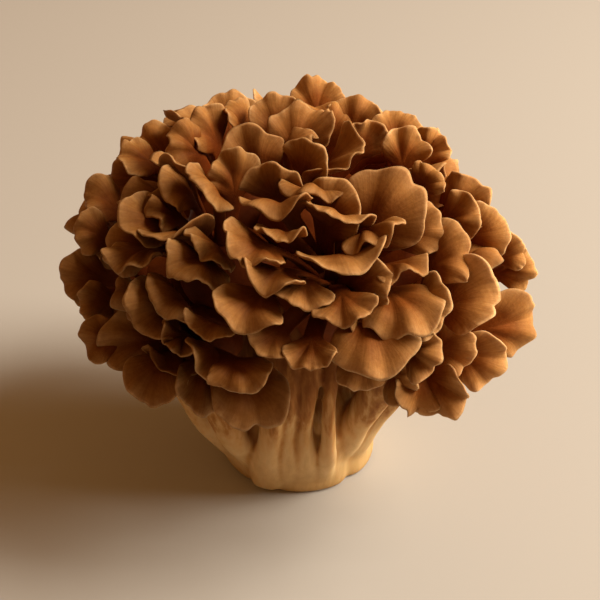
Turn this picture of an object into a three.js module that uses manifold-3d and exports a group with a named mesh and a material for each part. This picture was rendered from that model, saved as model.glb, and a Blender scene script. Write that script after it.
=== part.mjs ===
// A whole maitake cluster: a pale, fluted foot, cut flat underneath, that splits into stalks, and over
// it a dome of brown fronds. Every branch of the cluster carries one spray of fronds, which grow out of
// the knot where the branch ends. Millimetres, +Z up, origin in the middle of the cut face, front at -Y.

import * as THREE from 'three';
import { mergeVertices } from 'three/addons/utils/BufferGeometryUtils.js';
import Module from 'manifold-3d';

const wasm = await Module();
wasm.setup();

// ---- driving dimensions ------------------------------------------------------------------------------
const GAP = 0.35;                // clear space between two nodes that meet
const SMOOTHING = 0.14;          // slivers finer than this are merged away after the pieces are joined
const CROWN = { x: 76.5, y: 76.5, z: 43.5, height: 87, heart: 45 };  // dome that the margins reach
const FOOT = {
  radius: 26.5, bevel: 2.2, top: 52, flare: 6, sides: 25,
  notches: 5, notch: 2.2,            // grooves round the rim and their depth
  lean: 0.12, leanHeight: 14,        // the left side flares more than the right, above this height
};
const FOOT_SWELL = [[0.27, 0.45], [0.48, 1], [0.7, 0.75], [0.92, 0]];   // shares of top and of flare
const STALK = {
  foot: 6.3, waist: 5, top: 7.5, sides: 6,              // radii, and the sides of its outline
  ring: 17.5, ringHeight: 7, fullReach: 36,             // where stalks leave the foot; inner ones closer
  spread: 11,                                           // half the angle between two of one branch
  bends: [[0.55, 15], [0.79, 28]], end: 1.06, sink: 5,  // shares of the way out to the hub; heights
  thinning: 0.33, thickening: 0.66,                     // places along it
};
const FRONT_STALKS = [           // slender ones side by side in the gap: x below, x above, radius
  [-11, -8, 4], [-4.5, -3, 3.4], [1.5, 3.5, 3.2], [8, 12, 2.6],
];
const FRONT_PATH = [[22.5, 5], [33, 24], [38.5, 50], [27, 80]];   // how far in front of the axis; height
const BLADE = {
  neckHalf: 2.9, neck: 3.4, middle: 1.8, margin: 0.8,   // half width of the neck; thicknesses
  fanStart: 0.36,                                       // where the neck opens into the fan
  fanLength: 0.92, fanHalf: 0.62, roundness: 0.5,       // in widths; how round the margin is
};
const LIE = { standing: 22, lying: 84 };     // degrees that a blade leans over, off the dome's direction
const MIDRIB = { rise: 0.36, run: 0.55, runWidths: 0.85 };   // lengths of its curve's two handles
const HABIT = {                   // each frond draws its own measures between these
  tilt: [-7, 7], roll: [-16, 16],                       // degrees, beside its lean and about its length
  opening: [1.3, 2.1], scallops: [0.7, 1.5], lobes: [0.05, 0.16],   // how the margin spreads and is cut
  cup: [-0.05, 0.6], waves: [1.1, 2.1], ruffle: [1.0, 2.9],        // hollow, and waves across it
  crease: [0.5, 1.7], lip: [-1.8, 2.2],                 // folds between lobes; the margin's turn down
};
const FRONT_ROWS = [[0, 2], [0.36, 2], [0.62, 4], [1, 6]];   // places along a blade, points across it
const FILL_ROWS = [[0, 2], [0.36, 2], [0.62, 3], [1, 5]];
const HUB_RINGS = [               // branches end in a middle knot, a ring round it and a lower, wider ring
  { count: 1, radius: 0, height: 92, turn: 0, step: 0, stalks: 1, knot: 15 },
  { count: 5, radius: 28, height: 83, turn: 18, step: 72, stalks: 1, knot: 18 },
  { count: 7, radius: 44, height: 67, turn: 45, step: 45, stalks: 2, knot: 14 },   // none in front
];
const KNOT = { taper: 0.45, drop: 0.25 };    // a knot narrows and sinks toward its branch, by these shares
const FILL = {
  candidates: 420, polar: 124, spacing: 13.4, out: [0.93, 1.03],
  turn: [-28, 28], width: [17, 24], lie: [0.5, 0.95], fall: 18,     // fall: how steeply they point down
};
const ROOT = { behind: 14, below: 7 };       // from a frond's margin to the place that picks its hub
const SHOULDER = { low: 0.16, toward: 40 };  // the crown is lower by this share toward the back right
const WINDOW = { x: 3, y: -70, z: 68, radius: 17 };   // a gap in the fronds over the stalks

// The front of the crown is set out by eye, as it stands seen from the front and 33 degrees above.
// Fronds there turn their faces toward it, by lookOut against the dome's own direction.
const VIEW = { elevation: 33, distance: 482, aim: new THREE.Vector3(0, 0, 63.3), lookOut: 0.8 };

// Where each frond's margin lies in that view (mm right and up of the aim point), which way it grows
// there (degrees, 0 right, 90 up), its width, how far out it stands (1 = on the dome) and how much it
// lies over (0 = standing out of the dome, 1 = lying along it).
const FRONT_FRONDS = [
  // left rim, from the top down
  [-62, 50, 172, 16, 1.00, 0.6], [-74, 35, 190, 17, 1.00, 0.6], [-77, 24, 182, 15, 1.00, 0.6],
  [-82, 7, 188, 17, 1.00, 0.6], [-75, -4, 202, 15, 0.97, 0.6], [-75, -14, 195, 14, 0.95, 0.6],
  [-68, -18, 208, 21, 1.00, 0.7], [-52, -36, 255, 20, 0.98, 0.6], [-35, -38, 250, 18, 1.00, 0.7],
  // left, inside the rim
  [-62, 27, 195, 19, 1.03, 0.5], [-52, 32, 190, 14, 0.98, 0.5], [-34, 15, 238, 17, 1.00, 0.5],
  [-48, 39, 205, 17, 1.02, 0.55], [-36, 38, 228, 20, 1.05, 0.6], [-44, 57, 168, 16, 1.03, 0.4],
  [-37, 63, 160, 17, 1.02, 0.4], [-50, -1, 215, 21, 1.02, 0.5], [-41, 8, 230, 19, 1.04, 0.5],
  [-59, -5, 206, 22, 1.03, 0.5], [-32, -14, 242, 17, 1.02, 0.5], [-45, -17, 225, 13, 0.98, 0.4],
  [-32, -27, 242, 18, 1.03, 0.6],
  // top
  [-24, 71, 98, 19, 1.00, 0.6], [-7, 70, 84, 18, 1.00, 0.7], [7, 76, 78, 17, 1.05, 0.6],
  [20, 70, 82, 17, 1.00, 0.6], [35, 65, 68, 16, 1.00, 0.6], [48, 57, 45, 13, 1.00, 0.4],
  [38, 58, 66, 15, 1.00, 0.7], [24, 61, 86, 14, 0.97, 0.6], [-18, 60, 88, 20, 0.97, 0.5],
  // right
  [46, 45, 50, 12, 1.04, 0.7], [39, 42, 47, 26, 1.10, 0.9], [48, 29, 22, 18, 1.06, 0.8],
  [58, 20, 8, 21, 1.04, 0.9], [64, 38, 34, 19, 1.00, 0.7], [61, 31, 22, 15, 0.97, 0.7],
  [70, 28, 38, 18, 1.00, 0.7], [76, 19, 24, 13, 0.97, 0.6], [80, 11, 2, 15, 1.00, 0.7],
  [68, 2, -4, 22, 1.04, 0.9], [81, -7, -10, 21, 1.00, 0.9], [70, -24, -30, 18, 1.00, 0.8],
  [60, -17, -8, 16, 1.00, 0.8], [55, -37, -50, 18, 1.03, 0.8], [39, -40, -94, 16, 1.00, 0.6],
  [48, -20, -16, 18, 1.04, 0.8], [29, -27, 280, 25, 1.08, 0.85], [40, -31, -18, 17, 1.00, 0.6],
  [51, -4, -20, 20, 1.05, 0.7], [39, 10, -58, 16, 1.06, 0.3], [31, 7, 4, 16, 1.02, 0.6],
  // middle
  [18, 39, 40, 20, 1.06, 0.7], [7, 53, 50, 17, 1.04, 0.6], [-11, 29, 268, 21, 1.08, 0.68],
  [-11, 47, 92, 18, 1.00, 0.5], [-25, 51, 118, 17, 1.02, 0.6], [10, 27, 250, 21, 1.09, 0.62],
  [28, 20, 285, 19, 1.09, 0.60], [18, 7, 285, 24, 1.08, 0.66], [-8, 20, 265, 15, 1.04, 0.62],
  [-22, 13, 240, 20, 1.08, 0.62], [-13, 3, 250, 18, 1.07, 0.66], [0, -3, 270, 18, 1.04, 0.66],
  [17, -9, 280, 18, 1.07, 0.62], [-21, -11, 262, 21, 1.06, 0.70], [40, -12, 280, 23, 1.08, 0.66],
  // low front
  [-20, -32, 262, 18, 1.06, 0.6], [-13, -19, 242, 15, 1.04, 0.4], [3, -24, 270, 15, 1.04, 0.5],
  [-15, -44, 262, 24, 1.03, 0.8], [24, -31, 285, 16, 0.98, 0.7],
];

// ---- small helpers -----------------------------------------------------------------------------------
const rad = THREE.MathUtils.degToRad;
const lerp = THREE.MathUtils.lerp;
const vec = (x, y, z) => new THREE.Vector3(x, y, z);

/** The same "random" number from 0 to 1 every time for the same frond and purpose. */
function draw(frond, purpose) {
  const wave = Math.sin(frond * 12.9898 + purpose * 78.233 + 1.7) * 43758.5453;
  return wave - Math.floor(wave);
}

/** A seeded number between low and high. */
const between = (low, high, frond, purpose) => lerp(low, high, draw(frond, purpose));

/** A closed solid from points and triangles. */
function solid(points, triangles) {
  const mesh = new wasm.Mesh({
    numProp: 3,
    vertProperties: new Float32Array(points.flatMap((p) => [p.x, p.y, p.z])),
    triVerts: new Uint32Array(triangles.flat()),
  });
  return new wasm.Manifold(mesh);
}

/** A solid from one of the library's closed shapes. */
function solidOf(geometry) {
  geometry.deleteAttribute('normal');
  geometry.deleteAttribute('uv');
  const merged = mergeVertices(geometry, 1e-3);
  const mesh = new wasm.Mesh({
    numProp: 3,
    vertProperties: new Float32Array(merged.attributes.position.array),
    triVerts: new Uint32Array(merged.index.array),
  });
  return new wasm.Manifold(mesh);
}

/** The largest of the pieces that a cut leaves. */
function largestPiece(body) {
  return body.decompose().reduce((best, piece) => (piece.volume() > best.volume() ? piece : best));
}

/** A body cut clear of another wherever the two still touch. */
function clearOf(body, other) {
  const clash = body.intersect(other);
  if (clash.isEmpty()) return body;
  const box = new THREE.Box3(vec(...clash.boundingBox().min), vec(...clash.boundingBox().max));
  const size = box.expandByScalar(GAP).getSize(vec(0, 0, 0));
  const middle = box.getCenter(vec(0, 0, 0));
  const notch = new THREE.BoxGeometry(size.x, size.y, size.z).translate(middle.x, middle.y, middle.z);
  return largestPiece(body.subtract(solidOf(notch)));
}

/** Triangles that join a row of points to the next one, where the two rows may differ in number. */
function stitch(firstStart, firstCount, nextStart, nextCount) {
  const triangles = [];
  let i = 0;
  let j = 0;
  while (i < firstCount - 1 || j < nextCount - 1) {
    const stepFirst = j === nextCount - 1
      || (i < firstCount - 1 && (i + 0.5) / (firstCount - 1) < (j + 0.5) / (nextCount - 1));
    if (stepFirst) {
      triangles.push([firstStart + i, firstStart + i + 1, nextStart + j]);
      i += 1;
    } else {
      triangles.push([firstStart + i, nextStart + j + 1, nextStart + j]);
      j += 1;
    }
  }
  return triangles;
}

// ---- where the fronds stand --------------------------------------------------------------------------
const VIEW_UP = vec(0, Math.sin(rad(VIEW.elevation)), Math.cos(rad(VIEW.elevation)));
const VIEW_BACK = vec(0, -Math.cos(rad(VIEW.elevation)), Math.sin(rad(VIEW.elevation)));
const heart = vec(0, 0, CROWN.heart);
const crownCentre = vec(0, 0, CROWN.height);

/** Outward direction of the dome at a point on it. */
function domeNormal(p) {
  return vec(p.x / CROWN.x ** 2, p.y / CROWN.y ** 2, (p.z - CROWN.height) / CROWN.z ** 2).normalize();
}

/** The part of a direction that lies along the dome. */
function alongDome(direction, normal) {
  return direction.clone().addScaledVector(normal, -direction.dot(normal)).normalize();
}

/** The point where the sight line through a place in the front view meets the dome, grown by `out`. */
function placeInView(across, up, out) {
  const eye = VIEW_BACK.clone().multiplyScalar(VIEW.distance).add(VIEW.aim);
  const target = VIEW.aim.clone().add(vec(across, 0, 0)).addScaledVector(VIEW_UP, up);
  const squeeze = vec(1 / CROWN.x, 1 / CROWN.y, 1 / CROWN.z).divideScalar(out);
  const ray = target.sub(eye).normalize();
  const start = eye.clone().sub(crownCentre).multiply(squeeze);
  const step = ray.clone().multiply(squeeze);
  const a = step.dot(step);
  const b = start.dot(step);
  const miss = Math.max(0, b * b - a * (start.dot(start) - 1));
  return eye.addScaledVector(ray, (-b - Math.sqrt(miss)) / a);
}

/** Fronds of the front, from the list set out by eye. */
function frontFronds() {
  return FRONT_FRONDS.map(([across, up, heading, width, out, lie], index) => {
    const tip = placeInView(across, up, out);
    const normal = domeNormal(tip).addScaledVector(VIEW_BACK, VIEW.lookOut).normalize();
    const growth = vec(Math.cos(rad(heading)), 0, 0).addScaledVector(VIEW_UP, Math.sin(rad(heading)));
    return { index, tip, normal, along: alongDome(growth, normal), width, lie, rows: FRONT_ROWS };
  });
}

/** Fronds of the back and of any bare spot: a spiral over the dome, where nothing stands yet. */
function fillFronds(standing) {
  const goldenAngle = Math.PI * (3 - Math.sqrt(5));
  const fronds = [...standing];
  for (let i = 0; i < FILL.candidates; i += 1) {
    const share = (i + 0.5) / FILL.candidates;
    const cosPolar = 1 - share * (1 - Math.cos(rad(FILL.polar)));
    const sinPolar = Math.sqrt(1 - cosPolar ** 2);
    const turn = i * goldenAngle;
    const unit = vec(sinPolar * Math.cos(turn), sinPolar * Math.sin(turn), cosPolar);
    const low = SHOULDER.low * sinPolar * Math.max(0, Math.cos(turn - rad(SHOULDER.toward)));
    const out = between(...FILL.out, i, 21) * (1 - low);
    const tip = unit.multiply(vec(CROWN.x, CROWN.y, CROWN.z)).multiplyScalar(out).add(crownCentre);
    if (tip.distanceTo(vec(WINDOW.x, WINDOW.y, WINDOW.z)) < WINDOW.radius) continue;
    if (fronds.some((other) => other.tip.distanceTo(tip) < FILL.spacing)) continue;
    const index = 100 + i;
    const normal = domeNormal(tip);
    const downhill = alongDome(vec(tip.x, tip.y, -FILL.fall), normal);
    const along = downhill.applyAxisAngle(normal, rad(between(...FILL.turn, index, 1)));
    const width = between(...FILL.width, index, 2);
    const lie = between(...FILL.lie, index, 3);
    fronds.push({ index, tip, normal, along, width, lie, rows: FILL_ROWS });
  }
  return fronds;
}

// ---- one frond ---------------------------------------------------------------------------------------
/** A frond's own measures: its midrib from the hub to the margin, and how it is rolled and ruffled. */
function growFrond(place, hub) {
  const { index, tip, normal, along, width, lie } = place;
  const lean = rad(lerp(LIE.standing, LIE.lying, lie) + between(...HABIT.tilt, index, 4));
  const outward = normal.clone().multiplyScalar(Math.cos(lean)).addScaledVector(along, Math.sin(lean));
  const face = normal.clone().multiplyScalar(Math.sin(lean)).addScaledVector(along, -Math.cos(lean));
  const side = outward.clone().cross(face).applyAxisAngle(outward, rad(between(...HABIT.roll, index, 5)));
  const reach = tip.distanceTo(hub);
  const chord = tip.clone().sub(hub).normalize();
  const upright = hub.clone().sub(heart).normalize().add(chord).normalize();
  const run = Math.min(reach * MIDRIB.run, width * MIDRIB.runWidths);
  const midrib = new THREE.CubicBezierCurve3(
    hub,
    hub.clone().addScaledVector(upright, reach * MIDRIB.rise),
    tip.clone().addScaledVector(outward, -run),
    tip,
  );
  return { ...place, midrib, side, reach };
}

/** Where a frond's sheet passes: a from -1 to 1 across it, v from 0 at the hub to 1 at the margin. */
function sheetPoint(frond, a, v, grown) {
  const { index, width, reach, midrib, side } = frond;
  const fanLength = Math.min(width * BLADE.fanLength, reach * (1 - BLADE.fanStart));
  const t = Math.max(0, (v - BLADE.fanStart) / (1 - BLADE.fanStart));
  const opening = 1 - (1 - t) ** between(...HABIT.opening, index, 15);
  const half = lerp(BLADE.neckHalf, width * BLADE.fanHalf, opening);
  const across = a * (half + grown) * Math.sqrt(1 - 0.5 * t * t * a * a);
  const scallopTurn = Math.PI * between(...HABIT.scallops, index, 6) * a + 3.14 * draw(index, 7);
  const scallop = Math.abs(Math.cos(scallopTurn)) ** 0.6 - 0.7;
  const lobes = between(...HABIT.lobes, index, 20) * scallop;
  const round = Math.sqrt(1 - BLADE.roundness * a * a);
  const fan = fanLength * (t * round + lobes * t ** 3 * (1 - a ** 4));
  const rootLength = reach - fanLength;
  const length = Math.min(v / BLADE.fanStart, 1) * rootLength + fan + (v === 1 ? grown : 0);
  const u = length / reach;
  const cup = between(...HABIT.cup, index, 8) * (width / 2) * a * a * t ** 1.4;
  const waves = between(...HABIT.waves, index, 9) * Math.PI * a + 6.3 * draw(index, 10);
  const ruffle = between(...HABIT.ruffle, index, 11) * t ** 2.2 * Math.sin(waves);
  const crease = between(...HABIT.crease, index, 22) * scallop * t * t;
  const lip = -between(...HABIT.lip, index, 12) * Math.max(0, (t - 0.6) / 0.4) ** 2;
  const centre = midrib.getPoint(Math.min(u, 1));
  const tangent = midrib.getTangent(Math.min(u, 1));
  centre.addScaledVector(tangent, Math.max(0, u - 1) * reach);
  const widthAxis = side.clone().addScaledVector(tangent, -side.dot(tangent)).normalize();
  const faceAxis = widthAxis.clone().cross(tangent).normalize();
  const thick = t > 0 ? lerp(BLADE.middle, BLADE.margin, t)
    : lerp(BLADE.neck, BLADE.middle, v / BLADE.fanStart);
  centre.addScaledVector(widthAxis, across).addScaledVector(faceAxis, cup + ruffle + crease + lip);
  return { centre, faceAxis, thick: thick + 2 * grown };
}

/** A frond as a closed sheet, split alike on both faces. */
function frondSolid(frond, grown = 0) {
  const { rows } = frond;
  const top = [];
  const bottom = [];
  const rowStarts = [];
  for (const [v, count] of rows) {
    rowStarts.push(top.length);
    for (let column = 0; column < count; column += 1) {
      const a = -1 + (2 * column) / (count - 1);
      const { centre, faceAxis, thick } = sheetPoint(frond, a, v, grown);
      top.push(centre.clone().addScaledVector(faceAxis, thick / 2));
      bottom.push(centre.clone().addScaledVector(faceAxis, -thick / 2));
    }
  }
  const sheet = [];
  for (let row = 0; row + 1 < rows.length; row += 1) {
    sheet.push(...stitch(rowStarts[row], rows[row][1], rowStarts[row + 1], rows[row + 1][1]));
  }
  const offset = top.length;
  const lastRow = rowStarts.length - 1;
  const lastCount = rows[lastRow][1];
  const rim = [];
  for (let column = 0; column < rows[0][1]; column += 1) rim.push(column);
  for (let row = 1; row < lastRow; row += 1) rim.push(rowStarts[row] + rows[row][1] - 1);
  for (let column = lastCount - 1; column >= 0; column -= 1) rim.push(rowStarts[lastRow] + column);
  for (let row = lastRow - 1; row > 0; row -= 1) rim.push(rowStarts[row]);
  const triangles = [];
  for (const [p, q, r] of sheet) {
    triangles.push([p, q, r], [offset + r, offset + q, offset + p]);
  }
  rim.forEach((p, i) => {
    const q = rim[(i + 1) % rim.length];
    triangles.push([p, offset + p, offset + q], [p, offset + q, q]);
  });
  return solid([...top, ...bottom], triangles);
}

// ---- sprays ------------------------------------------------------------------------------------------
/** Where the branches end. */
function hubPlaces() {
  return HUB_RINGS.flatMap(({ count, radius, height, turn, step, stalks, knot }) => (
    Array.from({ length: count }, (_, i) => {
      const azimuth = rad(turn - 90 + step * i);
      return { hub: vec(radius * Math.cos(azimuth), radius * Math.sin(azimuth), height), stalks, knot };
    })
  ));
}

/** Every frond goes to the hub that lies best behind its root. */
function sprays() {
  const groups = hubPlaces().map((place) => ({ ...place, fronds: [] }));
  for (const place of fillFronds(frontFronds())) {
    const root = place.tip.clone().addScaledVector(place.normal, -ROOT.behind)
      .addScaledVector(place.along, -ROOT.below);
    const nearest = groups.reduce((best, group) => (
      root.distanceTo(group.hub) < root.distanceTo(best.hub) ? group : best
    ));
    nearest.fronds.push(growFrond(place, nearest.hub));
  }
  return groups;
}

/** The knot of flesh at the end of a branch: a ball, drawn in and down toward the branch below. */
function hubSolid({ hub, knot }, grown = 0) {
  const geometry = new THREE.IcosahedronGeometry(knot + grown, 1);
  const { position } = geometry.attributes;
  for (let i = 0; i < position.count; i += 1) {
    const p = vec(0, 0, 0).fromBufferAttribute(position, i);
    const below = Math.max(0, -p.z / (knot + grown));
    const drawnIn = 1 - KNOT.taper * below;
    position.setXYZ(i, p.x * drawnIn, p.y * drawnIn, p.z * (1 + KNOT.drop * below));
  }
  return solidOf(geometry.translate(hub.x, hub.y, hub.z));
}

/** Sprays as solids, each cut clear of the ones before it. */
function spraySolids(groups) {
  const done = [];
  for (const group of groups) {
    const pieces = group.fronds.map((frond) => {
      let blade = frondSolid(frond);
      for (const other of done) {
        for (const guard of other.guards) {
          if (blade.intersect(guard).isEmpty()) continue;
          blade = largestPiece(blade.subtract(guard));
        }
      }
      return blade;
    });
    let body = hubSolid(group);
    for (const { guards } of done) {
      for (const guard of guards) body = body.subtract(guard);
    }
    for (const blade of pieces) body = body.add(blade);
    const guards = group.fronds.map((frond) => frondSolid(frond, GAP));
    guards.push(hubSolid(group, GAP));
    body = largestPiece(body.simplify(SMOOTHING));
    for (const other of done) body = clearOf(body, other.body);
    done.push({ body, guards });
  }
  return done;
}

// ---- foot and stalks ---------------------------------------------------------------------------------
/** The cut foot: a flat face below, notched sides that flare upward, rounded over on top. */
function footSolid() {
  const { radius, bevel, top, flare, sides, notches, notch, lean, leanHeight } = FOOT;
  const rows = [
    [0, radius - bevel * 0.8], [bevel * 0.4, radius - bevel * 0.2], [bevel * 1.5, radius + 0.4],
    ...FOOT_SWELL.map(([height, out]) => [top * height, radius + flare * out]),
    [top + 3, radius * 0.75],
  ];
  const points = [vec(0, 0, 0)];
  for (const [height, rowRadius] of rows) {
    for (let i = 0; i < sides; i += 1) {
      const turn = (2 * Math.PI * i) / sides;
      const ridge = Math.abs(Math.cos((notches / 2) * turn + 0.5 * Math.sin(turn) + 0.9));
      const wave = notch * (0.3 - (1 - ridge) ** 3);
      const leaning = 1 - lean * Math.cos(turn) * Math.min(1, height / leanHeight);
      const r = (rowRadius + wave) * leaning;
      points.push(vec(r * Math.cos(turn), r * Math.sin(turn), height));
    }
  }
  points.push(vec(0, 0, top + 5));
  const triangles = [];
  const last = points.length - 1;
  for (let i = 0; i < sides; i += 1) {
    const next = (i + 1) % sides;
    triangles.push([0, 1 + next, 1 + i]);
    for (let row = 0; row + 1 < rows.length; row += 1) {
      const low = 1 + row * sides;
      const high = low + sides;
      triangles.push([low + i, low + next, high + next], [low + i, high + next, high + i]);
    }
    triangles.push([last - sides + i, last - sides + next, last]);
  }
  return solid(points, triangles);
}

/** A limb along a curve, with flat ends; `radiusAt` gives its radius for a share of its length. */
function limb(path, radiusAt, sides, steps) {
  const points = [];
  const frames = path.computeFrenetFrames(steps, false);
  for (let step = 0; step <= steps; step += 1) {
    const centre = path.getPointAt(step / steps);
    const radius = radiusAt(step / steps);
    for (let side = 0; side < sides; side += 1) {
      const turn = (2 * Math.PI * side) / sides;
      points.push(centre.clone()
        .addScaledVector(frames.normals[step], radius * Math.cos(turn))
        .addScaledVector(frames.binormals[step], radius * Math.sin(turn)));
    }
  }
  const triangles = [];
  for (let side = 1; side + 1 < sides; side += 1) {
    triangles.push([0, side + 1, side]);
    const end = steps * sides;
    triangles.push([end, end + side, end + side + 1]);
  }
  for (let step = 0; step < steps; step += 1) {
    for (let side = 0; side < sides; side += 1) {
      const next = (side + 1) % sides;
      const low = step * sides;
      const high = low + sides;
      triangles.push([low + side, low + next, high + next], [low + side, high + next, high + side]);
    }
  }
  return solid(points, triangles);
}

/** The stalks of one branch: they flare out of the foot side by side, then rise into the hub. */
function stalkSolids({ hub, stalks }, branch) {
  const middle = Math.atan2(hub.y, hub.x);
  const outer = Math.hypot(hub.x, hub.y);
  const share = Math.min(1, outer / STALK.fullReach);
  const [[firstOut, firstHeight], [secondOut, secondHeight]] = STALK.bends;
  return Array.from({ length: stalks }, (_, i) => {
    const offset = rad(STALK.spread * (2 * i - stalks + 1) + between(-4, 4, branch, 31 + i));
    const at = (radius, turn, height, lean) => {
      const r = radius * (1 - lean * Math.cos(middle + turn));
      return vec(r * Math.cos(middle + turn), r * Math.sin(middle + turn), height);
    };
    const path = new THREE.CatmullRomCurve3([
      at(STALK.ring * share * share, offset, STALK.ringHeight, FOOT.lean),
      at(outer * firstOut, offset, firstHeight, FOOT.lean),
      at(outer * secondOut, offset, secondHeight + between(-2, 3, branch, 41 + i), FOOT.lean),
      at(outer * STALK.end, offset * 0.6, hub.z - STALK.sink, 0),
    ]);
    const foot = STALK.foot + between(-1.2, 1.6, branch, 51 + i);
    const radiusAt = (u) => (u < STALK.thickening
      ? lerp(foot, STALK.waist, Math.max(0, u - STALK.thinning) / (STALK.thickening - STALK.thinning))
      : lerp(STALK.waist, STALK.top, (u - STALK.thickening) / (1 - STALK.thickening)));
    return limb(path, radiusAt, STALK.sides, stalks + 2);
  });
}

/** The slender stalks in front: they bow forward as they rise, then lean back into the knots. */
function frontStalkSolids() {
  const [[, bottom], , , [, top]] = FRONT_PATH;
  return FRONT_STALKS.map(([low, high, radius]) => {
    const path = new THREE.CatmullRomCurve3(FRONT_PATH.map(([out, height]) => (
      vec(lerp(low, high, (height - bottom) / (top - bottom)), -out, height)
    )));
    return limb(path, (u) => radius * (u === 0 ? 1.25 : 1), STALK.sides, 3);
  });
}

/** The foot with its stalks, hollowed where the hubs and fronds sit. */
function baseSolid(groups, finished) {
  let body = footSolid();
  for (const stalk of frontStalkSolids()) body = body.add(stalk);
  groups.forEach((group, branch) => {
    for (const stalk of stalkSolids(group, branch)) body = body.add(stalk);
  });
  for (const { guards } of finished) {
    for (const guard of guards) {
      if (!body.intersect(guard).isEmpty()) body = body.subtract(guard);
    }
  }
  body = largestPiece(body.simplify(SMOOTHING));
  for (const other of finished) body = clearOf(body, other.body);
  return body;
}

// ---- the cluster -------------------------------------------------------------------------------------
const FLESH = {
  cream: new THREE.MeshStandardMaterial({ color: 0xd9bd8c, roughness: 0.75, metalness: 0 }),
  brown: new THREE.MeshStandardMaterial({ color: 0x8a5526, roughness: 0.7, metalness: 0 }),
};

/** A named mesh from a solid. */
function piece(name, body, material) {
  const { vertProperties, triVerts } = body.getMesh();
  const geometry = new THREE.BufferGeometry();
  geometry.setAttribute('position', new THREE.BufferAttribute(new Float32Array(vertProperties), 3));
  geometry.setIndex(new THREE.BufferAttribute(new Uint32Array(triVerts), 1));
  geometry.computeVertexNormals();
  const mesh = new THREE.Mesh(geometry, material.clone());
  mesh.name = name;
  return mesh;
}

const branches = sprays();
const crownBodies = spraySolids(branches);
const maitake = new THREE.Group();
maitake.name = 'maitake_mushroom';
maitake.add(piece('base', baseSolid(branches, crownBodies), FLESH.cream));
crownBodies.forEach(({ body }, index) => {
  const number = String(index + 1).padStart(2, '0');
  maitake.add(piece(`spray_${number}`, body, FLESH.brown));
});

export default maitake;
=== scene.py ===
# %% [markdown]
# # A maitake cluster
# A maitake is one growth: a pale foot that was cut flat, stalks that flare out of it, and dozens of
# brown fronds that fan out of the ends of the stalks. The frame below holds the plain solids of that
# build, in metres. Everything here is fitted to it, so it is loaded first and its box is kept.

# %% Load the frame
import bpy
import numpy as np
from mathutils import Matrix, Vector


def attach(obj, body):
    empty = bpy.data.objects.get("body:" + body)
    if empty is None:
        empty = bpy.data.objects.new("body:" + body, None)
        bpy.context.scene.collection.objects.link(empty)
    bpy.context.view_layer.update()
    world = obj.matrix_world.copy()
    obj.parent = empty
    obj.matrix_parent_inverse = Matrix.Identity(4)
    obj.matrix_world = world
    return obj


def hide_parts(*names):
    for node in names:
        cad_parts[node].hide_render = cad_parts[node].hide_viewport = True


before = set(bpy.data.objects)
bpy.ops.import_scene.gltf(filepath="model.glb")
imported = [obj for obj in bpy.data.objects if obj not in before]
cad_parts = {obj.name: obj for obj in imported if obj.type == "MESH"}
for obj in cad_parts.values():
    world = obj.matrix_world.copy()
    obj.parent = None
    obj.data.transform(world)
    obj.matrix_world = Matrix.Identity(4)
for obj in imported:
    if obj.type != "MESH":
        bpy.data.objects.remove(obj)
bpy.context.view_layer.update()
print("CAD nodes:", len(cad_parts))

# %% [markdown]
# ## Driving sizes
# The crown is a dome, 153 mm wide, whose lower edge tucks in over the foot. Fronds grow from knots of
# flesh, called hubs here, where the branches end. Sizes are in millimetres until a mesh is made.

# %% Sizes
MM = 0.001
CROWN = np.array([76.5, 76.5, 43.5])  # half sizes of the dome that the margins reach
CROWN_CENTRE = np.array([0.0, 0.0, 87.0])
NECK_HALF, NECK_THICK, MIDDLE_THICK, MARGIN_THICK = 2.9, 3.4, 1.8, 0.8
FAN_START, ROUNDNESS = 0.36, 0.5
HUB_RINGS = [  # hubs, ring radius, height, turn, step, stalks, hub radius
    (1, 0, 92, 0, 0, 1, 15.0),
    (5, 28, 83, 18, 72, 1, 18.0),
    (7, 44, 67, 45, 45, 2, 14.0),
]
FILL_CANDIDATES, FILL_POLAR, FILL_SPACING = 420, 124, 13.4
FILL_FIRST = 100  # fill fronds are numbered from here, so their draws differ
FILL_OUT, FILL_WIDTH, FILL_LIE = (0.93, 1.03), (17, 24), (0.5, 0.95)
FILL_FALL, FILL_TURN = 18.0, 28  # how far downhill they head (mm), and degrees to either side
LOW_SHOULDER, LOW_TOWARD = 0.16, np.radians(40)  # the crown's back right is lower, by this share
WINDOW, WINDOW_RADIUS = np.array([3.0, -70.0, 68.0]), 17.0  # a gap in the fronds over the stalks
KNOT_TAPER, KNOT_DROP = 0.45, 0.25  # a hub narrows and sinks toward its branch, by these shares
LOOK_OUT = 0.8  # how far the front fronds turn their faces to the front
VIEW_ELEVATION, VIEW_DISTANCE = np.radians(33), 482.0
AIM = np.array([0.0, 0.0, 63.3])
print("dome: %.0f by %.0f by %.0f mm" % tuple(2 * CROWN))
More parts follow.
